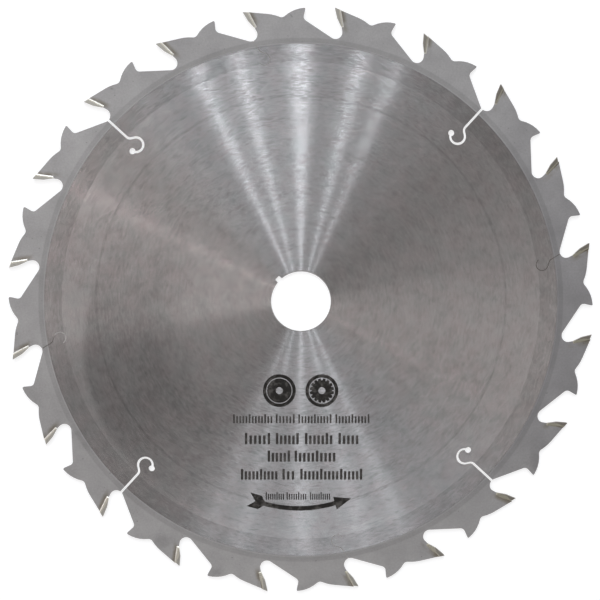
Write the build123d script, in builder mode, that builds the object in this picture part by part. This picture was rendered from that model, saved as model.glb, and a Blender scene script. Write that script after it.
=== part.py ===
from build123d import *
from math import cos, radians, sin, sqrt, tan
import os

# Carbide-tipped circular brush cutter blade, lying flat. The origin is the centre
# of the arbor bore on the plate's mid-plane, +Z leaves the printed face, and the
# teeth point counter-clockwise seen from +Z. All lengths are in millimetres.
#
# Each tooth is drawn in its own frame: X runs outward along the radius through its
# cutting edge, and Y runs ahead, the way the blade turns.

# Overall sizes
blade_diameter = 250.0
bore_diameter = 25.4
plate_thickness = 1.8
cut_width = 2.8
tooth_count = 20
first_tooth_angle = 11.47

# Arbor bore: a deburring chamfer on both rims, and the small relief notch
bore_chamfer = 0.45
bore_notch_width = 2.4
bore_notch_depth = 1.6
bore_notch_radius = 0.4
bore_notch_angle = 135.5

# Shallow groove that rolling left on both faces to tension the plate
tension_ring_diameter = 174.2
tension_ring_width = 1.7
tension_ring_depth = 0.04

# Carbide tip: rake, relief, alternate top bevel and side clearances in degrees
hook_angle = 20.0
relief_angle = 16.0
bevel_angle = 10.0
side_clearance_angle = 2.0
root_clearance_angle = 0.8
cutting_face_length = 4.6

# Pocket that seats the tip: its back wall leans back from the tooth's radius
seat_lean = 16.3
seat_setback = 2.5
seat_depth = 7.7
ledge_length = 0.95
heel_radius = 0.25

# Braze layer between pocket and tip, with a small fillet proud of the plate
braze_thickness = 0.45
braze_rise = 0.2

# Gullet ahead of the cutting edge, its depth taken from the tip circle
gullet_depth = 13.1
gullet_radius = 2.9
gullet_front_minimum = 0.3
ramp_angle = 27.0
ramp_foot_radius = 2.0

# Depth limiter, the hump that stands ahead of each gullet. Its front is undercut,
# and its land slopes back to a curve that falls away into the valley.
limiter_lead = 12.3
limiter_drop = 0.85
limiter_undercut = 5.5
limiter_slope = 11.6
limiter_land = 0.8
limiter_corner_radius = 0.4

# Steel back of the tooth and the valley between it and the limiter behind it
shoulder_drop = 0.9
back_slope = 16.4
back_length = 7.8
valley_drop = 5.0
valley_radius = 2.0
valley_share_of_pitch = 0.572

# Hooked expansion slots from the gullets inward, which end in a round hole
slot_count = 4
slot_width = 1.0
slot_setback = 1.35
slot_lean = 0.0
slot_bend_radius = 2.2
slot_slant = 35.0
slot_hook_radius = 3.1
slot_hook_drop = 28.6
slot_hook_setback = 1.62
slot_hook_sweep = 221.0
slot_hole_diameter = 2.6

# Hair-thin damping slots of the same form and as many, halfway between the others
damping_width = 0.3
damping_setback = 2.1
damping_lean = 20.3
damping_bend_radius = 1.5
damping_slant = 30.0
damping_hook_radius = 2.5
damping_hook_drop = 21.5
damping_hook_setback = 5.05
damping_hook_sweep = 215.0

# How far a cutting profile runs past the solid that it cuts
overrun = 4.0

# Values worked out from the sizes above
tip_radius = blade_diameter / 2
pitch = 360.0 / tooth_count
half_plate = plate_thickness / 2
half_cut = cut_width / 2


def heading(angle):
    """Unit vector at an angle from the tooth's X axis, towards +Y."""
    return Vector(cos(radians(angle)), sin(radians(angle)))


def crossing(start_a, along_a, start_b, along_b):
    """Point where two lines in a plane meet."""
    gap = start_b - start_a
    share = (gap.X * along_b.Y - gap.Y * along_b.X) / (
        along_a.X * along_b.Y - along_a.Y * along_b.X
    )
    return start_a + along_a * share


# Lines of the pocket and the tip, in the tooth's frame
inward_along_seat = heading(180 + seat_lean)
ahead_along_ledge = heading(90 + seat_lean)
seat_line_start = Vector(tip_radius, -seat_setback)
heel = seat_line_start + inward_along_seat * (seat_depth / cos(radians(seat_lean)))
ledge_end = heel + ahead_along_ledge * ledge_length

cutting_edge = Vector(tip_radius, 0)
face_break = cutting_edge + heading(180 + hook_angle) * cutting_face_length
facet = (ledge_end - face_break).normalized()

tip_heel = heel + ahead_along_ledge * braze_thickness - inward_along_seat * braze_thickness
tip_back_top = crossing(tip_heel, inward_along_seat, cutting_edge, heading(270 - relief_angle))
tip_toe = crossing(tip_heel, ahead_along_ledge, face_break, facet)

shoulder = crossing(
    seat_line_start, inward_along_seat, Vector(tip_radius - shoulder_drop, 0), Vector(0, 1)
)

# Gullet, limiter and tooth back
gullet_floor = tip_radius - gullet_depth
front_rise = ledge_end.X - gullet_floor
usable_gullet_radius = min(
    gullet_radius,
    (front_rise - gullet_front_minimum) / (1 + sin(radians(seat_lean))),
)
front_length = (
    front_rise - usable_gullet_radius * (1 + sin(radians(seat_lean)))
) / cos(radians(seat_lean))
front_end = ledge_end + inward_along_seat * front_length
gullet_turn = 90 + seat_lean + ramp_angle

limiter_radius = tip_radius - limiter_drop
limiter_corner = Vector(sqrt(limiter_radius**2 - limiter_lead**2), limiter_lead)
land_direction = heading(90 + limiter_slope)
land_end = limiter_corner + land_direction * limiter_land

valley = heading(pitch * valley_share_of_pitch) * (tip_radius - valley_drop)
back_direction = heading(270 - back_slope)
back_end = shoulder + back_direction * back_length
back_over_pocket = crossing(shoulder, back_direction, Vector(0, 0), Vector(1, 0))


def on_next_tooth(point):
    """The same point on the next tooth ahead."""
    return point.rotate(Axis.Z, pitch)


# Space between two teeth, from this tooth's seat to the back of the next one
with BuildSketch() as tooth_space:
    with BuildLine():
        seat_top = seat_line_start - inward_along_seat * overrun
        FilletPolyline(seat_top, heel, ledge_end, radius=[heel_radius])
        Line(ledge_end, front_end)
        gullet_arc = JernArc(front_end, inward_along_seat, usable_gullet_radius, -gullet_turn)
        ramp_foot = crossing(
            gullet_arc @ 1, heading(90 - ramp_angle), limiter_corner, heading(180 - limiter_undercut)
        )
        FilletPolyline(
            gullet_arc @ 1,
            ramp_foot,
            limiter_corner,
            land_end,
            radius=[ramp_foot_radius, limiter_corner_radius],
        )
        TangentArc(land_end, valley, tangent=land_direction)
        TangentArc(
            on_next_tooth(back_end),
            valley,
            tangent=on_next_tooth(back_direction),
        )
        Polyline(
            on_next_tooth(back_end),
            on_next_tooth(back_over_pocket),
            on_next_tooth(Vector(tip_radius + overrun, 0)),
            heading(pitch / 2) * (tip_radius + 2 * overrun),
            seat_top,
        )
    make_face()
    fillet(tooth_space.vertices().sort_by_distance(valley)[0], valley_radius)


def hooked_slot(
    width, setback, lean, bend_radius, slant, hook_radius, hook_drop, hook_setback, hook_sweep
):
    """Slot from the gullet's floor inward to a hook, and the point where the hook ends."""
    hook_centre = Vector(tip_radius - hook_drop, -hook_setback)
    hook_start = hook_centre + heading(-slant) * hook_radius
    mouth = Vector(gullet_floor, -setback)
    inward = heading(180 + lean)
    bend = crossing(mouth, inward, hook_start, heading(90 - slant))
    with BuildSketch() as slot:
        with BuildLine() as path:
            FilletPolyline(
                mouth - inward * usable_gullet_radius, bend, hook_start, radius=[bend_radius]
            )
            hook = JernArc(hook_start, heading(270 - slant), hook_radius, -hook_sweep)
        trace(path.edges(), line_width=width)
    return slot.sketch, hook @ 1


expansion_path, expansion_end = hooked_slot(
    slot_width,
    slot_setback,
    slot_lean,
    slot_bend_radius,
    slot_slant,
    slot_hook_radius,
    slot_hook_drop,
    slot_hook_setback,
    slot_hook_sweep,
)
with BuildSketch() as expansion_slot:
    add(expansion_path)
    with Locations(expansion_end):
        Circle(slot_hole_diameter / 2)

damping_slot = hooked_slot(
    damping_width,
    damping_setback,
    damping_lean,
    damping_bend_radius,
    damping_slant,
    damping_hook_radius,
    damping_hook_drop,
    damping_hook_setback,
    damping_hook_sweep,
)[0]


def on_teeth(count, offset):
    """Frames of count teeth spread round the blade, offset by a share of their spacing."""
    teeth = [int((step + offset) * tooth_count / count) for step in range(count)]
    return Locations(*[Rotation(0, 0, first_tooth_angle + tooth * pitch) for tooth in teeth])


os.makedirs("parts", exist_ok=True)

# Blade body: one laser-cut plate
with BuildPart() as blade_body:
    with BuildSketch(Plane.XY.offset(-half_plate)):
        Circle(tip_radius)
        with on_teeth(tooth_count, 0):
            add(tooth_space.sketch, mode=Mode.SUBTRACT)
        with on_teeth(slot_count, 0.5):
            add(expansion_slot.sketch, mode=Mode.SUBTRACT)
        with on_teeth(slot_count, 0):
            add(damping_slot, mode=Mode.SUBTRACT)
    extrude(amount=plate_thickness)
    with BuildSketch(Plane.XY.offset(-half_plate)):
        Circle(bore_diameter / 2)
    extrude(amount=plate_thickness, mode=Mode.SUBTRACT)
    bore_wall = blade_body.faces(Select.LAST).filter_by(GeomType.CYLINDER)[0]
    chamfer(bore_wall.edges().filter_by(GeomType.CIRCLE), bore_chamfer)
    with BuildSketch(Plane.XY.offset(-half_plate)):
        with PolarLocations(bore_diameter / 2, 1, start_angle=bore_notch_angle):
            RectangleRounded(2 * bore_notch_depth, bore_notch_width, bore_notch_radius)
    extrude(amount=plate_thickness, mode=Mode.SUBTRACT)
    for face_height, into_plate in ((half_plate, -1), (-half_plate, 1)):
        with BuildSketch(Plane.XY.offset(face_height)):
            Circle((tension_ring_diameter + tension_ring_width) / 2)
            Circle((tension_ring_diameter - tension_ring_width) / 2, mode=Mode.SUBTRACT)
        extrude(amount=into_plate * tension_ring_depth, mode=Mode.SUBTRACT)
blade_body.part.label = "blade_body"
export_step(blade_body.part, "parts/blade_body.step")

# Carbide tip: a ground wedge. Its flanks narrow away from the cutting edge, and
# its top is bevelled down towards one face, on alternate sides from tooth to tooth.
flank_lean = tan(radians(root_clearance_angle))
flank_taper = tan(radians(side_clearance_angle))
with BuildSketch() as tip_profile:
    with BuildLine():
        Polyline(cutting_edge, face_break, tip_toe, tip_heel, tip_back_top, close=True)
    make_face()


def carbide_tip(high_side):
    """Tip whose top is high on one face: 1 for the printed face, -1 for the other."""
    top_normal = Vector(
        1, -tan(radians(relief_angle)), -high_side * tan(radians(bevel_angle))
    )
    with BuildPart() as tip:
        add(tip_profile.sketch)
        extrude(amount=half_cut, both=True)
        for side in (1, -1):
            flank = Plane(
                origin=(tip_radius, 0, side * half_cut),
                z_dir=(-flank_lean, -flank_taper, side),
            )
            split(bisect_by=flank, keep=Keep.BOTTOM)
        top = Plane(origin=(tip_radius, 0, high_side * half_cut), z_dir=top_normal)
        split(bisect_by=top, keep=Keep.BOTTOM)
    return tip.part


# Braze seam: fills the pocket behind and under the tip, flush with the facet and
# climbing a little above the plate's faces where it meets the carbide.
with BuildPart() as braze:
    with BuildSketch():
        with BuildLine():
            FilletPolyline(shoulder, heel, ledge_end, radius=[heel_radius])
            Polyline(ledge_end, tip_toe, tip_heel, tip_back_top, shoulder)
        make_face()
    extrude(amount=half_plate + braze_rise, both=True)
    for side in (1, -1):
        for wall_normal in (ahead_along_ledge, -inward_along_seat):
            climb = Plane(
                origin=heel + Vector(0, 0, side * half_plate),
                z_dir=Vector(0, 0, side * braze_thickness) - wall_normal * braze_rise,
            )
            split(bisect_by=climb, keep=Keep.BOTTOM)

# One tip and one seam on every tooth
for tooth in range(tooth_count):
    number = f"{tooth + 1:02d}"
    place = Rotation(0, 0, first_tooth_angle + tooth * pitch)
    with BuildPart() as placed_tip:
        add(place * carbide_tip(1 if tooth % 2 == 0 else -1))
    placed_tip.part.label = "carbide_tip_" + number
    export_step(placed_tip.part, "parts/carbide_tip_" + number + ".step")
    with BuildPart() as placed_seam:
        add(place * braze.part)
    placed_seam.part.label = "braze_seam_" + number
    export_step(placed_seam.part, "parts/braze_seam_" + number + ".step")
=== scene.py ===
from math import atan2, cos, pi, radians, sin, tan

import bpy
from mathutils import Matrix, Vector


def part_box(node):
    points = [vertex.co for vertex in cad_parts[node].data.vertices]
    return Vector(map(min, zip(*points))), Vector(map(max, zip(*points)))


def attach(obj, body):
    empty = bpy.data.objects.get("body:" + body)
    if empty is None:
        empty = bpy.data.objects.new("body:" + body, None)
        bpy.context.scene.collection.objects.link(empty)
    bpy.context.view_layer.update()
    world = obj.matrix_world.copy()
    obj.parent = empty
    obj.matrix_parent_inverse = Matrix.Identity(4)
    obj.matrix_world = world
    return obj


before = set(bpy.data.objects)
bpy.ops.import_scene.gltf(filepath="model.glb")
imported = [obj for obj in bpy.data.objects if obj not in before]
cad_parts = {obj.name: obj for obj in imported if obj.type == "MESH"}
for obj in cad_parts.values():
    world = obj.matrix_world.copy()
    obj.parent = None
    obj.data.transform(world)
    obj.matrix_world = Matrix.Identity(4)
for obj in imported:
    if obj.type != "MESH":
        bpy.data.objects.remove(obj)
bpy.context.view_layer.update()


# Blade body. A tensioned steel plate, laser-cut to its outline and then ground on
# both faces while it spins, so that its grain runs round the bore. The rim lies
# outside the grinding wheel's reach and stays matt, browned a little behind each tip.
STEEL = (0.5, 0.49, 0.485)
ROSE_STEEL = (0.532, 0.482, 0.476)
SAGE_STEEL = (0.482, 0.497, 0.484)
RIM_STEEL = (0.362, 0.354, 0.344)
SHADED_RIM = (0.287, 0.28, 0.277)
CUT_EDGE = (0.16, 0.155, 0.15)
TEMPER_BROWN = (0.22, 0.2, 0.165)
SOFT_ROUGHNESS = 0.2
CRISP_ROUGHNESS = 0.16
CRISP_ANISOTROPY = 0.8
CRISP_SHARE = 0.5
SIDE_CONTRAST = 0.35
RAY_CONTRAST = 1.4
GRAIN_DEPTH = 0.000018
RIM_GRIT_DEPTH = 0.00002

# Lengths here are in mm, and angles in degrees. SEAT_TOP is a place. Any other pair of
# numbers says where one look starts to fade into the next, and where it has faded.
MM = 1000.0
TOOTH_COUNT = 20
FIRST_TOOTH_ANGLE = 11.47
SEAT_LEAN = 16.3
SEAT_TOP = (124.1, -2.76)
ROLLED_RING = 87.05
ROLLED_RING_WIDTH = 1.0
BAND_START = 101.5
BAND_FADE = (BAND_START - 0.1, BAND_START + 0.2)
BRIGHT_LIP = (BAND_START - 7.0, BAND_START)
GROUND_RADIUS = 109.0
FIELD_EDGE = (GROUND_RADIUS - 0.6, GROUND_RADIUS)
RIM_START = (GROUND_RADIUS - 0.15, GROUND_RADIUS + 0.15)
RIM_LINE_WIDTH = 0.35
UNDERCUT_START = (109.3, 109.7)
UNDERCUT_END = (111.2, 111.8)
RIM_HEIGHT = (60.0, 120.0)
RIM_SHADE = (0.0, 170.0)
RIM_SHADE_WANDER = 120.0
TEMPER_START = (-1.0, 0.0)
TEMPER_END = (0.3, 2.2)
TEMPER_OUTER = (114.0, 118.5)


class Signal:
    """A number, vector, colour or shader inside a material, with plain sums on numbers."""

    def __init__(self, finish, socket):
        self.finish = finish
        self.socket = socket

    def __add__(self, other):
        return self.finish.math("ADD", self, other)

    def __sub__(self, other):
        return self.finish.math("SUBTRACT", self, other)

    def __rsub__(self, other):
        return self.finish.math("SUBTRACT", other, self)

    def __mul__(self, other):
        return self.finish.math("MULTIPLY", self, other)

    def __truediv__(self, other):
        return self.finish.math("DIVIDE", self, other)

    def __pow__(self, other):
        return self.finish.math("POWER", self, other)

    def __neg__(self):
        return 0 - self

    def __abs__(self):
        return self.finish.math("ABSOLUTE", self)

    __radd__ = __add__
    __rmul__ = __mul__

    def rise(self, start, end):
        """0 at start, 1 at end, and a smooth slope between."""
        settings = {"interpolation_type": "SMOOTHSTEP"}
        inputs = {"Value": self, "From Min": start, "From Max": end}
        return self.finish.node("MapRange", settings, inputs)

    def fall(self, start, end):
        """1 at start, 0 at end, and a smooth slope between."""
        return 1 - self.rise(start, end)

    def line(self, centre, width):
        """1 at the centre, falling to 0 a width away on each side."""
        return self.rise(centre - width, centre) * self.fall(centre, centre + width)

    def swing(self, strength):
        """Noise made into a factor, which is 1 where the noise is at its middle of 0.5."""
        return 1 - strength / 2 + strength * self


class Finish:
    """A material, whose nodes all come from the method node. Its x and y are in mm."""

    def __init__(self, name):
        self.material = bpy.data.materials.new(name)
        self.material.use_nodes = True
        self.tree = self.material.node_tree
        self.tree.nodes.remove(self.tree.nodes["Principled BSDF"])
        self.place = self.node("TexCoord", output="Object")
        self.x = self.node("SeparateXYZ", inputs={"Vector": self.place}, output="X") * MM
        self.y = self.node("SeparateXYZ", inputs={"Vector": self.place}, output="Y") * MM

    def node(self, kind, settings=None, inputs=None, output=0):
        """A new node of a kind, with its settings made before its sockets are filled."""
        made = self.tree.nodes.new("ShaderNode" + kind)
        for name, value in (settings or {}).items():
            setattr(made, name, value)
        for name, value in (inputs or {}).items():
            self.fill(made.inputs[name], value)
        return Signal(self, made.outputs[output])

    def fill(self, socket, value):
        """Link or set a socket. A colour of three numbers gets its alpha."""
        if isinstance(value, Signal):
            self.tree.links.new(value.socket, socket)
        elif isinstance(value, tuple) and len(value) < len(socket.default_value):
            socket.default_value = (*value, 1.0)
        else:
            socket.default_value = value

    def math(self, operation, first, second=0.0):
        """Number worked out from one or two others."""
        return self.node("Math", {"operation": operation}, {0: first, 1: second})

    def noise(self, scale, detail=2.0, where=None):
        """Noise that wanders between about 0.3 and 0.7, with a scale in marks to the metre."""
        inputs = {"Vector": where or self.place, "Scale": scale, "Detail": detail}
        return self.node("TexNoise", inputs=inputs)

    def blend(self, share, first, second):
        """Colour that goes from the first to the second as share goes from 0 to 1."""
        inputs = {"Factor": share, 6: first, 7: second}
        return self.node("Mix", {"data_type": "RGBA"}, inputs, output=2)

    def shade(self, colour, factor):
        """Colour made darker or lighter by a factor."""
        grey = self.node("CombineColor", inputs={0: factor, 1: factor, 2: factor})
        settings = {"data_type": "RGBA", "blend_type": "MULTIPLY"}
        return self.node("Mix", settings, {"Factor": 1.0, 6: colour, 7: grey}, output=2)

    def bump(self, height, distance):
        """Normal bent by a height between 0 and 1 that stands for a distance in metres."""
        return self.node("Bump", inputs={"Height": height, "Distance": distance})

    def from_bore(self):
        """Distance in mm from the bore's axis."""
        return (self.x * self.x + self.y * self.y) ** 0.5

    def behind_seat(self):
        """Distance in mm behind the pocket's back wall, on whichever tooth is nearest."""
        pitch = 2 * pi / TOOTH_COUNT
        turn = self.math("ARCTAN2", self.y, self.x) - radians(FIRST_TOOTH_ANGLE)
        turn = turn - pitch * self.math("ROUND", turn / pitch)
        along = self.from_bore() * self.math("COSINE", turn) - SEAT_TOP[0]
        across = self.from_bore() * self.math("SINE", turn) - SEAT_TOP[1]
        return along * sin(radians(SEAT_LEAN)) - across * cos(radians(SEAT_LEAN))

    def mix(self, share, first, second):
        """Shader that goes from the first to the second as share goes from 0 to 1."""
        return self.node("MixShader", inputs={"Fac": share, 1: first, 2: second})

    def show(self, shader):
        """Make this shader the one that the material shows."""
        self.fill(self.tree.nodes["Material Output"].inputs["Surface"], shader)

    def wear(self, piece):
        """Put the material on a piece or node."""
        piece.data.materials.clear()
        piece.data.materials.append(self.material)


steel = Finish("ground_steel")
radius = steel.from_bore()


def grain(length, width, detail=2.0):
    """Noise drawn out round the bore, in marks of a length and a width in mm."""
    where = steel.node(
        "CombineXYZ",
        inputs={"X": steel.x / length, "Y": steel.y / length, "Z": radius / width},
    )
    return steel.noise(1.0, detail, where)


def toward(bearing):
    """1 at a bearing in degrees from +X, seen from the bore, and 0 a quarter turn away."""
    along = steel.x * cos(radians(bearing)) + steel.y * sin(radians(bearing))
    return along / radius


scratches = grain(length=2.4, width=1.1, detail=1.0)
arcs = grain(length=9.0, width=0.6, detail=1.0)
hairs = grain(length=2.6, width=0.55, detail=1.0)
waves = grain(length=4.0, width=1.1, detail=1.0)
stains = grain(length=28.0, width=8.0)
mottle = steel.noise(190.0)
grain_tone = scratches.swing(0.5) * arcs.swing(0.2) * mottle.swing(0.6)
grain_tone = grain_tone * stains.swing(0.24) * hairs.swing(0.3)
band = radius.rise(*BAND_FADE)
ring_tone = 1
for change, zone in (
    (-0.21, band),
    (-0.2, radius.line(ROLLED_RING, ROLLED_RING_WIDTH)),
    (0.055, radius.rise(*BRIGHT_LIP) * (1 - band)),
    (-0.12, radius.rise(*FIELD_EDGE)),
):
    ring_tone = ring_tone + change * zone

# Painted shade and painted light in the ground face's colour. A patch to the lower
# left of the bore, bounded by an off-centre circle, is painted darker on its left
# part, and the face beside it and left of the bore is painted lighter. Under the
# bore and at the top the face is painted darker. A spread is a pair of values of
# toward, which is 1 at the middle of the zone.
PATCH_BEARING = 222.0
PATCH_SHIFT = 39.0
PATCH_INNER = (45.0, 70.0)
PATCH_OUTER = (58.8, 62.8)
PAINTED_SHADE_BEARING = 200.0
PAINTED_SHADE_SPREAD = (0.7, 0.9)
UNDER_BORE_DEPTH = (0.0, 60.0)
UNDER_BORE_OUTER = (50.0, 95.0)
TOP_BEARING = 97.0
TOP_SPREAD = (0.9, 0.98)
TOP_INNER = (70.0, 100.0)
BESIDE_PATCH_BEARING = 203.0
LEFT_BEARING = 168.0
LEFT_OUTER = (35.0, 60.0)
PALE_SPREAD = (0.86, 1.0)
patch_edge = radius - PATCH_SHIFT * toward(PATCH_BEARING)
shade_patch = radius.rise(*PATCH_INNER) * patch_edge.fall(*PATCH_OUTER)
painted_patch_shade = shade_patch * toward(PAINTED_SHADE_BEARING).rise(*PAINTED_SHADE_SPREAD)
under_bore = (-steel.y).rise(*UNDER_BORE_DEPTH) * radius.fall(*UNDER_BORE_OUTER)
top_shade = radius.rise(*TOP_INNER) * toward(TOP_BEARING).rise(*TOP_SPREAD)
# Painted shade: darker under the bore, in the patch's left part and at the top.
for change, zone in ((-0.22, under_bore), (-0.17, painted_patch_shade), (-0.14, top_shade)):
    ring_tone = ring_tone * (1 + change * zone)
painted_light_beside_patch = (1 - shade_patch) * toward(BESIDE_PATCH_BEARING).rise(*PALE_SPREAD)
left_of_bore = radius.fall(*LEFT_OUTER) * toward(LEFT_BEARING).rise(*PALE_SPREAD)
# Painted light: lighter beside the patch and left of the bore.
lift = 1
for change, zone in ((0.5, painted_light_beside_patch), (0.4, left_of_bore)):
    lift = lift + change * zone

ROSY_FADE = (0.15, 0.85)
RAY_SPREAD = (0.7, 0.9)
rosy_patches = steel.noise(130.0, detail=3.0).rise(*ROSY_FADE)
steel_colour = steel.blend(rosy_patches, SAGE_STEEL, ROSE_STEEL)
steel_normal = steel.bump(waves, GRAIN_DEPTH)
soft_shine = steel.node(
    "BsdfPrincipled",
    inputs={
        "Base Color": steel.shade(steel_colour, ring_tone * grain_tone * lift),
        "Metallic": 1.0,
        "Roughness": SOFT_ROUGHNESS,
        "Anisotropic": 1.0,
        "Anisotropic Rotation": 0.25,
        "Normal": steel_normal,
    },
)
crisp_shine = steel.node(
    "BsdfAnisotropic",
    inputs={
        "Color": STEEL,
        "Roughness": CRISP_ROUGHNESS,
        "Anisotropy": CRISP_ANISOTROPY,
        "Normal": steel_normal,
    },
)
in_rays = (abs(steel.y) / radius).rise(*RAY_SPREAD)
contrast = (SIDE_CONTRAST + RAY_CONTRAST * in_rays) * (1 - 0.5 * band)
marks = 1 + contrast * (waves.swing(0.5) * hairs.swing(3.0) - 1)
crisp_share = CRISP_SHARE * grain_tone * ring_tone * marks
ground = steel.mix(crisp_share, soft_shine, crisp_shine)

SMUDGE_FADE = (0.6, 0.72)
PIT_FADE = (0.71, 0.77)
TEMPER_FADE = (0.35, 0.6)
FACE_FADE = (0.3, 0.8)
rim_grit = steel.noise(1300.0)
rim_tone = steel.noise(90.0, detail=4.0).swing(0.4) * rim_grit.swing(0.24)
for change, zone in (
    (-0.14, radius.rise(*UNDERCUT_START) * radius.fall(*UNDERCUT_END)),
    (-0.16, radius.line(GROUND_RADIUS, RIM_LINE_WIDTH)),
    (-0.16, steel.noise(55.0, detail=4.0).rise(*SMUDGE_FADE)),
    (-0.3, steel.noise(650.0).rise(*PIT_FADE)),
    # Painted light toward the rim's bottom, and painted shade toward its top.
    (0.1, (-steel.y).rise(*RIM_HEIGHT)),
    (-0.12, steel.y.rise(*RIM_HEIGHT)),
):
    rim_tone = rim_tone * (1 + change * zone)
# Painted shade: the rim's colour darkens toward the right, and stays lighter at the left, the
# top and the bottom.
shaded = steel.x - abs(steel.y) + RIM_SHADE_WANDER * steel.noise(25.0)
rim_colour = steel.blend(shaded.rise(*RIM_SHADE), RIM_STEEL, SHADED_RIM)
seat = steel.behind_seat()
temper = seat.rise(*TEMPER_START) * seat.fall(*TEMPER_END) * radius.rise(*TEMPER_OUTER)
temper = temper * steel.noise(160.0).rise(*TEMPER_FADE)
rim_colour = steel.blend(temper, rim_colour, TEMPER_BROWN)
normal = steel.node("NewGeometry", output="Normal")
upright = steel.node("SeparateXYZ", inputs={"Vector": normal}, output="Z")
on_face = abs(upright).rise(*FACE_FADE)
matt = steel.node(
    "BsdfPrincipled",
    inputs={
        "Base Color": steel.blend(on_face, CUT_EDGE, steel.shade(rim_colour, rim_tone)),
        "Metallic": 1.0,
        "Roughness": 0.5,
        "Normal": steel.bump(rim_grit, RIM_GRIT_DEPTH),
    },
)
on_rim = radius.rise(*RIM_START)
steel.show(steel.mix(steel.math("MAXIMUM", on_rim, 1 - on_face), ground, matt))
steel.wear(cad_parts["blade_body"])


# Carbide tips. Sintered tungsten carbide, brazed into a seat at the front of each
# tooth and ground on every side, which leaves a fine olive grey.
CARBIDE = (0.42, 0.405, 0.36)
SHADED_CARBIDE = (0.225, 0.207, 0.175)
FILLET_AND_SHEEN = (0.6, 0.57, 0.48)
SHADED_FILLET_AND_SHEEN = (0.36, 0.34, 0.27)
TIP_SHADE_FADE = (20.0, 110.0)
TIP_SHADE_WANDER = 40.0
WIDE_FILLET_FADE = (0.0, 90.0)
WIDE_FILLET_OUTER = (121.0, 123.5)
FILLET_EDGE = (-1.1, -0.7)
CARBIDE_GRIT_DEPTH = 0.00001
carbide = Finish("ground_carbide")
# Painted shade: the tips turn darker and browner toward the right.
painted_tip_shade = (carbide.x + TIP_SHADE_WANDER * carbide.noise(30.0)).rise(*TIP_SHADE_FADE)
carbide_grit = carbide.noise(2500.0)
carbide_colour = carbide.blend(painted_tip_shade, CARBIDE, SHADED_CARBIDE)
# The tip's edge by the seam takes the solder fillet's cream, part real fillet and part painted
# highlight. Toward the bottom right it reaches further in patches.
wide_fillet_and_sheen = (0.6 * carbide.x - carbide.y).rise(*WIDE_FILLET_FADE)
wide_fillet_and_sheen = wide_fillet_and_sheen * carbide.from_bore().fall(*WIDE_FILLET_OUTER)
fillet_and_sheen = carbide.behind_seat() + wide_fillet_and_sheen * (2.5 * carbide.noise(400.0) - 0.7)
fillet_and_sheen_colour = carbide.blend(painted_tip_shade, FILLET_AND_SHEEN, SHADED_FILLET_AND_SHEEN)
carbide_colour = carbide.blend(fillet_and_sheen.rise(*FILLET_EDGE), carbide_colour, fillet_and_sheen_colour)
carbide.show(
    carbide.node(
        "BsdfPrincipled",
        inputs={
            "Base Color": carbide.shade(carbide_colour, carbide_grit.swing(0.4)),
            "Metallic": 1.0,
            "Roughness": 0.38,
            "Normal": carbide.bump(carbide_grit, CARBIDE_GRIT_DEPTH),
        },
    )
)
for name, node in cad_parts.items():
    if name.startswith("carbide_tip"):
        carbide.wear(node)


# Braze seams. Silver solder that wets the seat and the tip and stands a little proud.
# It is cream white, with painted shade that turns it straw brown toward the right and
# the bottom, and darker brown at the seams' outer ends there.
SOLDER = (0.86, 0.84, 0.77)
SHADED_SOLDER = (0.4, 0.38, 0.3)
DEEP_SHADED_SOLDER = (0.2, 0.175, 0.135)
SOLDER_SHADE_FADE = (0.0, 110.0)
SOLDER_SHADE_WANDER = 60.0
DEEP_SHADE_OUTER = (120.5, 123.0)
BEAD_DEPTH = 0.00004
solder = Finish("silver_solder")
# Painted shade: the solder turns straw brown toward the right and the bottom, and darker brown
# at the seams' outer ends there.
painted_solder_shade = solder.x - 0.5 * solder.y + SOLDER_SHADE_WANDER * solder.noise(35.0)
painted_solder_shade = painted_solder_shade.rise(*SOLDER_SHADE_FADE)
deep_solder_shade = painted_solder_shade * solder.from_bore().rise(*DEEP_SHADE_OUTER)
beads = solder.noise(1500.0)
solder_colour = solder.blend(painted_solder_shade, SOLDER, SHADED_SOLDER)
solder_colour = solder.blend(deep_solder_shade, solder_colour, DEEP_SHADED_SOLDER)
solder.show(
    solder.node(
        "BsdfPrincipled",
        inputs={
            "Base Color": solder.shade(solder_colour, beads.swing(0.4)),
            "Metallic": 0.6,
            "Roughness": 0.42,
            "Normal": solder.bump(beads, BEAD_DEPTH),
        },
    )
)
for name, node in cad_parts.items():
    if name.startswith("braze_seam"):
        solder.wear(node)


# Damping fill. Dark resin pressed into the four hair-thin slots and wiped off flush
# with the plate. Its form is the slot's: in from the gullet, round a bend, into a hook.
RESIN = (0.075, 0.063, 0.052)
DUSTY_RESIN = (0.42, 0.4, 0.38)
DUSTY_FROM = (80.0, 100.0)
DUSTY_UP_TO = (105.0, 106.5)
RESIN_GRIT_DEPTH = 0.00002
RESIN_WIDTH = 0.3
RESIN_DEPTH = 1.76
SLOT_COUNT = 4
SLOT_MOUTH = (111.9, -2.1)
SLOT_LEAN = 20.3
SLOT_RUN = 5.165
SLOT_BEND_RADIUS = 1.5
SLOT_BEND = 39.7
HOOK_CENTRE = (103.5, -5.05)
HOOK_RADIUS = 2.5
HOOK_START = -30.0
HOOK_SWEEP = 215.0
resin = Finish("damping_resin")
dust = (-resin.x).rise(*DUSTY_FROM) * resin.from_bore().fall(*DUSTY_UP_TO)
dust = dust + 0.7 * (-resin.y).rise(*DUSTY_FROM) + 0.5 * resin.y.rise(*DUSTY_FROM)
resin_colour = resin.blend(dust, RESIN, DUSTY_RESIN)
resin_grit = resin.noise(1500.0)
resin.show(
    resin.node(
        "BsdfPrincipled",
        inputs={
            "Base Color": resin.shade(resin_colour, resin_grit.swing(0.8)),
            "Roughness": 0.5,
            "Normal": resin.bump(resin_grit, RESIN_GRIT_DEPTH),
        },
    )
)


def heading(angle):
    """Unit vector at an angle in degrees from +X."""
    return Vector((cos(radians(angle)), sin(radians(angle)), 0.0))


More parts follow.
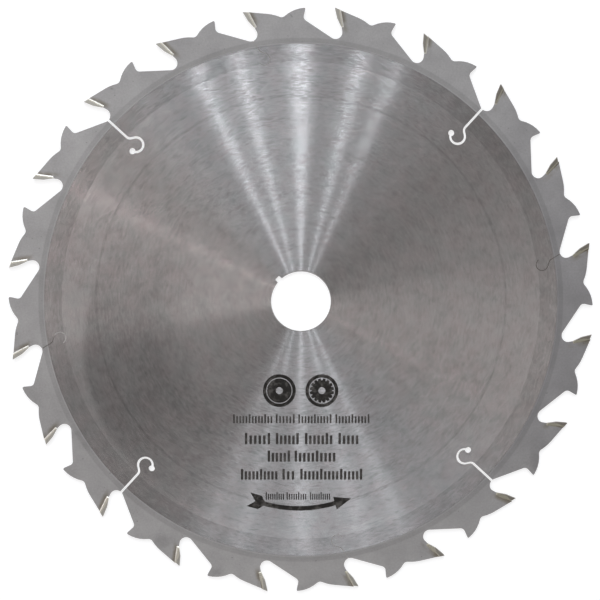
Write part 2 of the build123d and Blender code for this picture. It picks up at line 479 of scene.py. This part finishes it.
def vertices_where(piece, test):
    """In edit mode, select only the vertices that pass a test on their place."""
    bpy.ops.mesh.select_all(action="DESELECT")
    bpy.ops.object.mode_set(mode="OBJECT")
    for vertex in piece.data.vertices:
        vertex.select = test(vertex.co)
    bpy.ops.object.mode_set(mode="EDIT")


inward = heading(180.0 + SLOT_LEAN)
hookward = heading(180.0 + SLOT_LEAN + SLOT_BEND)
mouth = Vector((*SLOT_MOUTH, 0.0)) / MM
corner = mouth + inward * SLOT_RUN / MM
trim = SLOT_BEND_RADIUS * tan(radians(SLOT_BEND / 2)) / MM
bend_start = corner - inward * trim
bend_centre = bend_start + heading(270.0 + SLOT_LEAN) * SLOT_BEND_RADIUS / MM
hook_centre = Vector((*HOOK_CENTRE, 0.0)) / MM
hook_start = hook_centre + heading(HOOK_START) * HOOK_RADIUS / MM
bpy.ops.object.select_all(action="DESELECT")
bpy.ops.mesh.primitive_plane_add(
    size=RESIN_WIDTH / MM,
    location=mouth + inward * RESIN_WIDTH / MM,
    rotation=(0.0, 0.0, radians(SLOT_LEAN)),
)
filling = bpy.context.object
bpy.ops.object.transform_apply(location=True, rotation=True, scale=True)
bpy.ops.object.mode_set(mode="EDIT")
bpy.ops.mesh.select_mode(type="VERT")
vertices_where(filling, lambda place: (place - mouth).dot(inward) > RESIN_WIDTH / MM)
first_run = bend_start - mouth - inward * 1.5 * RESIN_WIDTH / MM
bpy.ops.mesh.extrude_region_move(TRANSFORM_OT_translate={"value": first_run})
bpy.ops.mesh.spin(
    steps=6, angle=radians(SLOT_BEND), center=bend_centre, axis=(0.0, 0.0, -1.0)
)
second_run = hook_start - corner - hookward * trim
bpy.ops.mesh.extrude_region_move(TRANSFORM_OT_translate={"value": second_run})
bpy.ops.mesh.spin(
    steps=24, angle=radians(HOOK_SWEEP), center=hook_centre, axis=(0.0, 0.0, 1.0)
)
bpy.ops.mesh.select_all(action="SELECT")
bpy.ops.mesh.normals_make_consistent(inside=False)
bpy.ops.object.mode_set(mode="OBJECT")
thicken = filling.modifiers.new("fill_depth", "SOLIDIFY")
thicken.thickness = RESIN_DEPTH / MM
thicken.offset = 0.0
bpy.ops.object.modifier_apply(modifier=thicken.name)
filling.rotation_euler.z = radians(FIRST_TOOTH_ANGLE)
for slot in range(SLOT_COUNT):
    twin = filling.copy()
    twin.data = filling.data.copy()
    bpy.context.collection.objects.link(twin)
    twin.name = "damping_fill_%d" % (slot + 1)
    twin.rotation_euler.z += slot * 2 * pi / SLOT_COUNT
    bpy.ops.object.select_all(action="DESELECT")
    twin.select_set(True)
    bpy.context.view_layer.objects.active = twin
    bpy.ops.object.transform_apply(location=True, rotation=True, scale=True)
    resin.wear(twin)
    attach(twin, "root")
bpy.data.objects.remove(filling)


# Direction arrow. Black ink stencilled on the ground face below the bore. It bends
# round with the blade and points the way that the teeth cut. Its lengths are in metres,
# and the heights between which the whole print has faded are in mm.
INK = (0.013, 0.0115, 0.0095)
WORN_INK = (0.085, 0.079, 0.072)
WORN_FADE = (0.7, 1.0)
FADED_SHARE = 0.35
FADED_BOTTOM = (-78.0, -77.0)
FADED_TOP = (-48.0, -47.0)
INK_GRIT_DEPTH = 0.00001
INK_THICKNESS = 0.00003
FACE_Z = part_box("blade_body")[1][2]
ARROW_CENTRE = (-0.0009, -0.03395, FACE_Z)
ARROW_RADIUS = 0.0546
ARROW_START = -105.7
ARROW_SWEEP = 32.1
SHAFT_WIDTH = 0.0019
FEATHER_SPREAD = 0.006
FEATHER_LENGTH = 0.005
FEATHER_NOTCH = 0.003
HEAD_BACK = SHAFT_WIDTH / 30
HEAD_SPREAD = 0.0056
HEAD_LENGTH = 0.0072
ink = Finish("black_ink")
ink_wear = ink.noise(420.0, detail=3.0) + 0.5 * ink.noise(2600.0)
faded_rows = ink.y.rise(*FADED_BOTTOM) * ink.y.fall(*FADED_TOP)
worn = ink_wear.rise(*WORN_FADE) + FADED_SHARE * faded_rows
ink.show(
    ink.node(
        "BsdfPrincipled",
        inputs={
            "Base Color": ink.blend(worn, INK, WORN_INK),
            "Roughness": 0.45,
            "Specular IOR Level": 0.2,
            "Normal": ink.bump(ink_wear, INK_GRIT_DEPTH),
        },
    )
)


def settle_ink(piece):
    """Give flat ink its thickness, its finish and its place on the blade."""
    bpy.ops.object.transform_apply(location=True, rotation=True, scale=True)
    bpy.ops.object.mode_set(mode="EDIT")
    bpy.ops.mesh.select_all(action="SELECT")
    bpy.ops.mesh.remove_doubles(threshold=0.00001)
    bpy.ops.mesh.normals_make_consistent(inside=False)
    bpy.ops.mesh.select_mode(type="FACE")
    bpy.ops.object.mode_set(mode="OBJECT")
    for face in piece.data.polygons:
        face.select = face.normal.z < 0
    bpy.ops.object.mode_set(mode="EDIT")
    bpy.ops.mesh.flip_normals()
    bpy.ops.object.mode_set(mode="OBJECT")
    film = piece.modifiers.new("ink_film", "SOLIDIFY")
    film.thickness = INK_THICKNESS
    film.offset = 1.0
    bpy.ops.object.modifier_apply(modifier=film.name)
    ink.wear(piece)
    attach(piece, "root")


tail_end = Vector(ARROW_CENTRE) + ARROW_RADIUS * heading(ARROW_START)
forward = heading(ARROW_START + 90.0)


def past_tail(place):
    """How far a place lies ahead of the shaft's tail end."""
    return (place - tail_end).dot(forward)


def in_notch(place):
    """True for the vertex at the middle of the feathers' back edge."""
    aside = abs((place - tail_end).cross(forward).z)
    return past_tail(place) < -FEATHER_LENGTH and aside < SHAFT_WIDTH / 4


bpy.ops.object.select_all(action="DESELECT")
bpy.ops.mesh.primitive_plane_add(
    size=SHAFT_WIDTH,
    location=tail_end - forward * SHAFT_WIDTH / 2,
    rotation=(0.0, 0.0, radians(ARROW_START + 90.0)),
)
arrow = bpy.context.object
arrow.name = "direction_arrow"
bpy.ops.object.transform_apply(location=True, rotation=True, scale=True)
bpy.ops.object.mode_set(mode="EDIT")
bpy.ops.mesh.select_mode(type="VERT")
vertices_where(arrow, lambda place: past_tail(place) < -SHAFT_WIDTH / 2)
bpy.ops.transform.resize(value=(FEATHER_SPREAD / SHAFT_WIDTH,) * 3)
bpy.ops.mesh.extrude_region_move(TRANSFORM_OT_translate={"value": -forward * FEATHER_LENGTH})
bpy.ops.mesh.subdivide(number_cuts=1)
vertices_where(arrow, in_notch)
bpy.ops.transform.translate(value=forward * FEATHER_NOTCH)
vertices_where(arrow, lambda place: past_tail(place) > -SHAFT_WIDTH / 4)
bpy.ops.mesh.spin(
    steps=24, angle=radians(ARROW_SWEEP), center=ARROW_CENTRE, axis=(0.0, 0.0, -1.0)
)
ahead = heading(ARROW_START + ARROW_SWEEP + 90.0)
bpy.ops.mesh.extrude_region_move(TRANSFORM_OT_translate={"value": ahead * HEAD_BACK})
bpy.ops.transform.resize(value=(HEAD_SPREAD / SHAFT_WIDTH,) * 3)
bpy.ops.mesh.extrude_region_move(TRANSFORM_OT_translate={"value": ahead * HEAD_LENGTH})
bpy.ops.mesh.merge(type="CENTER")
bpy.ops.object.mode_set(mode="OBJECT")
settle_ink(arrow)


# Two roundels. Inked signs side by side above the rows: a ring round a hub, and a ring
# round a small saw-toothed wheel. They are generic marks of the same ink.
ROUNDEL_RADIUS = 0.007
ROUNDEL_FIELD = 0.0056
ROUNDEL_WHEEL = 0.0052
ROUNDEL_HUB = 0.0015
ROUNDEL_SIDES = 64
HUB_MIDDLE = Vector((-0.0092, -0.0381, FACE_Z))
WHEEL_MIDDLE = Vector((0.0089, -0.0381, FACE_Z))
WHEEL_TEETH = 16
WHEEL_TOOTH_DEPTH = 0.8


def ink_roundel(name, middle):
    """Flat ink disc with a bare ring and a bare hub, left in edit mode for more shaping."""
    bpy.ops.object.select_all(action="DESELECT")
    bpy.ops.mesh.primitive_circle_add(
        vertices=ROUNDEL_SIDES, radius=ROUNDEL_RADIUS, fill_type="NGON", location=middle
    )
    roundel = bpy.context.object
    roundel.name = name
    bpy.ops.object.transform_apply(location=True, rotation=True, scale=True)
    bpy.ops.object.mode_set(mode="EDIT")
    bpy.ops.mesh.select_mode(type="FACE")
    bpy.ops.mesh.inset(thickness=ROUNDEL_RADIUS - ROUNDEL_FIELD)
    bpy.ops.mesh.inset(thickness=ROUNDEL_FIELD - ROUNDEL_WHEEL)
    bpy.ops.mesh.inset(thickness=ROUNDEL_WHEEL - ROUNDEL_HUB)
    bpy.ops.mesh.delete(type="FACE")
    bpy.ops.object.mode_set(mode="OBJECT")
    for face in roundel.data.polygons:
        face.select = ROUNDEL_WHEEL < (face.center - middle).length < ROUNDEL_FIELD
    bpy.ops.object.mode_set(mode="EDIT")
    bpy.ops.mesh.delete(type="FACE")
    bpy.ops.mesh.select_mode(type="VERT")
    return roundel


def is_tooth_root(place):
    """True for the vertices of the wheel's rim that lie between its teeth."""
    out = place - WHEEL_MIDDLE
    step = round(atan2(out.y, out.x) / (2 * pi / ROUNDEL_SIDES))
    on_wheel_rim = ROUNDEL_HUB * 1.5 < out.length < (ROUNDEL_WHEEL + ROUNDEL_FIELD) / 2
    return on_wheel_rim and step % (ROUNDEL_SIDES // WHEEL_TEETH) == 0


hub_sign = ink_roundel("roundel_hub", HUB_MIDDLE)
bpy.ops.object.mode_set(mode="OBJECT")
settle_ink(hub_sign)
wheel_sign = ink_roundel("roundel_wheel", WHEEL_MIDDLE)
vertices_where(wheel_sign, is_tooth_root)
bpy.ops.transform.resize(value=(WHEEL_TOOTH_DEPTH,) * 3, center_override=WHEEL_MIDDLE)
bpy.ops.object.mode_set(mode="OBJECT")
settle_ink(wheel_sign)


# Graduation rows. Five rows of inked strokes between the roundels and the arrow, with
# every fifth stroke longer, printed in the same pass. Each row is one piece.
TALL_EVERY = 5
SHORT_SHARE = 0.78
STROKE_CORNER = 0.2


def ink_row(number, bottom, height, width, step, groups):
    """Strokes of a width and height in mm, one step apart, in groups from x to x."""
    bpy.ops.object.select_all(action="DESELECT")
    bpy.ops.mesh.primitive_plane_add(size=1.0 / MM)
    stroke = bpy.context.object
    bpy.ops.object.mode_set(mode="EDIT")
    bpy.ops.transform.resize(value=(width, height, 1.0))
    bpy.ops.mesh.bevel(offset=width * STROKE_CORNER / MM, segments=2, affect="VERTICES")
    bpy.ops.object.mode_set(mode="OBJECT")
    strokes = []
    for first, last in groups:
        span = last - first - width
        gaps = round(span / step)
        for count in range(gaps + 1):
            twin = stroke.copy()
            twin.data = stroke.data.copy()
            bpy.context.collection.objects.link(twin)
            share = 1.0 if count % TALL_EVERY == 0 else SHORT_SHARE
            middle = first + width / 2 + count * span / gaps
            twin.scale = (1.0, share, 1.0)
            twin.location = (middle / MM, (bottom + height * share / 2) / MM, FACE_Z)
            strokes.append(twin)
    bpy.data.objects.remove(stroke)
    bpy.ops.object.select_all(action="DESELECT")
    for twin in strokes:
        twin.select_set(True)
    row = strokes[0]
    bpy.context.view_layer.objects.active = row
    bpy.ops.object.transform_apply(location=True, rotation=True, scale=True)
    bpy.ops.object.join()
    row.name = "graduation_row_%d" % number
    settle_ink(row)


ink_row(1, -52.0, 3.8, 0.75, 1.35, ((-28.9, -12.2), (-10.7, -2.7), (-1.1, 13.0), (14.7, 29.2)))
ink_row(2, -61.0, 4.8, 1.08, 1.8, ((-23.9, -13.1), (-10.7, -0.9), (1.7, 13.4), (16.0, 24.5)))
ink_row(3, -68.5, 4.8, 1.08, 1.8, ((-14.2, -4.6), (-2.7, 14.7)))
ink_row(4, -76.2, 4.6, 1.02, 1.65, ((-25.6, -10.0), (-7.9, -2.9), (-0.3, 26.2)))
ink_row(5, -84.8, 3.2, 0.5, 0.95, ((-15.0, -7.2), (-6.1, 2.3), (3.9, 12.5)))


# Floor. A white studio sweep that the blade lies on, whose own light lifts it to white
# in the picture and in the metal, and leaves the blade's shadow on it.
FLOOR_Z = -0.0014
FLOOR_SIZE = 6.0
PAPER = (0.36, 0.36, 0.36)
PAPER_GLOW = (1.0, 1.0, 1.0)
GLOW_STRENGTH = 0.75
bpy.ops.object.select_all(action="DESELECT")
bpy.ops.mesh.primitive_plane_add(size=FLOOR_SIZE, location=(0.0, 0.0, FLOOR_Z))
floor = bpy.context.object
floor.name = "studio_floor"
paper = Finish("white_paper")
seen = paper.node("LightPath", output="Is Camera Ray")
for ray in ("Is Glossy Ray", "Is Transmission Ray"):
    seen = paper.math("MAXIMUM", seen, paper.node("LightPath", output=ray))
paper.show(
    paper.node(
        "BsdfPrincipled",
        inputs={
            "Base Color": PAPER,
            "Roughness": 0.9,
            "Emission Color": paper.shade(PAPER_GLOW, seen),
            "Emission Strength": GLOW_STRENGTH,
        },
    )
)
paper.wear(floor)


# Studio light. A dim even room with nine soft boxes, two windows at the left and a lamp
# at the ceiling. Strips hang beyond the blade's top and at its left, and the round grain
# draws each of them out into a bright ray through the bore.
ROOM_LEVEL = 0.25
ROOM_TINT = (1.0, 0.965, 0.975, 1.0)
COOL = (0.885, 0.932, 1.0)
WARM = (1.0, 0.942, 0.93)
ROSY = (1.0, 0.76, 0.79)
LAMP_DISTANCE = 4.0
STRIP_TILT = 40.0
STRIP_LENGTH = 2.4
BOX_TILT = 25.0
BOX_WIDTH = 0.9
BOX_LENGTH = 1.6
WINDOW_TILT = 45.0
WINDOW_WIDTH = 1.5
WINDOW_LENGTH = 2.4
CEILING_TILT = 10.0
CEILING_SIZE = 0.8
world = bpy.data.worlds.new("studio_room")
bpy.context.scene.world = world
world.use_nodes = True
world.node_tree.nodes["Background"].inputs["Color"].default_value = ROOM_TINT
world.node_tree.nodes["Background"].inputs["Strength"].default_value = ROOM_LEVEL


def hang_lamp(kind, bearing, tilt, width, length, brightness, tint):
    """Area lamp that faces the bore. Bearing turns from +X, and tilt leans from upright.

    Width runs round the blade's axis. Brightness is that of the lamp's own surface,
    where white paper in full light is about 1.
    """
    bpy.ops.object.select_all(action="DESELECT")
    bpy.ops.object.light_add(
        type="AREA",
        location=(
            LAMP_DISTANCE * sin(radians(tilt)) * cos(radians(bearing)),
            LAMP_DISTANCE * sin(radians(tilt)) * sin(radians(bearing)),
            LAMP_DISTANCE * cos(radians(tilt)),
        ),
        rotation=(radians(tilt), 0.0, radians(bearing + 90.0)),
    )
    lamp = bpy.context.object
    lamp.name = "%s_%.0f" % (kind, bearing)
    lamp.data.shape = "RECTANGLE"
    lamp.data.size = width
    lamp.data.size_y = length
    lamp.data.energy = brightness * pi * width * length
    lamp.data.color = tint


for bearing, width, brightness, tint in (
    (64.8, 0.09, 13.0, COOL),
    (73.7, 0.09, 19.0, COOL),
    (89.1, 0.16, 20.5, COOL),
    (98.0, 0.5, 1.4, COOL),
    (105.2, 0.09, 20.3, COOL),
    (115.6, 0.09, 23.0, COOL),
    (158.0, 0.09, 4.6, ROSY),
    (174.0, 0.4, 0.6, ROSY),
):
    hang_lamp("strip", bearing, STRIP_TILT, width, STRIP_LENGTH, brightness, tint)
for bearing, brightness, tint in (
    (0.0, 0.2, WARM),
    (60.0, 0.5, COOL),
    (90.0, 0.9, COOL),
    (120.0, 1.24, COOL),
    (150.0, 1.13, WARM),
    (180.0, 0.62, WARM),
    (270.0, 0.8, COOL),
    (300.0, 0.57, COOL),
    (330.0, 0.36, WARM),
):
    hang_lamp("soft_box", bearing, BOX_TILT, BOX_WIDTH, BOX_LENGTH, brightness, tint)
for bearing, brightness in ((180.0, 0.85), (240.0, 0.8)):
    hang_lamp("window", bearing, WINDOW_TILT, WINDOW_WIDTH, WINDOW_LENGTH, brightness, WARM)
hang_lamp("ceiling", 353.0, CEILING_TILT, CEILING_SIZE, CEILING_SIZE, 0.25, WARM)


# Camera. It looks down on the bore from close to straight above, a metre away. Its lens
# and a small shift put the blade where the photograph's frame has it.
CAMERA_DISTANCE = 1.0
SENSOR_WIDTH = 36.0
PIXELS_PER_MM = 2.351
PICTURE = 600.0
BORE_PIXEL = (301.08, 301.17)
LEAN_BACK = 3.15
LEAN_LEFT = 0.57
TURN = 0.04
bpy.ops.object.camera_add(
    location=(
        -CAMERA_DISTANCE * sin(radians(LEAN_LEFT)) * cos(radians(LEAN_BACK)),
        CAMERA_DISTANCE * sin(radians(LEAN_BACK)),
        CAMERA_DISTANCE * cos(radians(LEAN_LEFT)) * cos(radians(LEAN_BACK)),
    ),
    rotation=(radians(-LEAN_BACK), radians(-LEAN_LEFT), radians(TURN)),
)
camera = bpy.context.object
camera.name = "camera_above"
camera.data.sensor_width = SENSOR_WIDTH
camera.data.lens = SENSOR_WIDTH * CAMERA_DISTANCE * MM * PIXELS_PER_MM / PICTURE
camera.data.shift_x = 0.5 - BORE_PIXEL[0] / PICTURE
camera.data.shift_y = BORE_PIXEL[1] / PICTURE - 0.5
camera.data.clip_start = 0.01
bpy.context.scene.camera = camera
bpy.context.scene.view_settings.view_transform = "Standard"
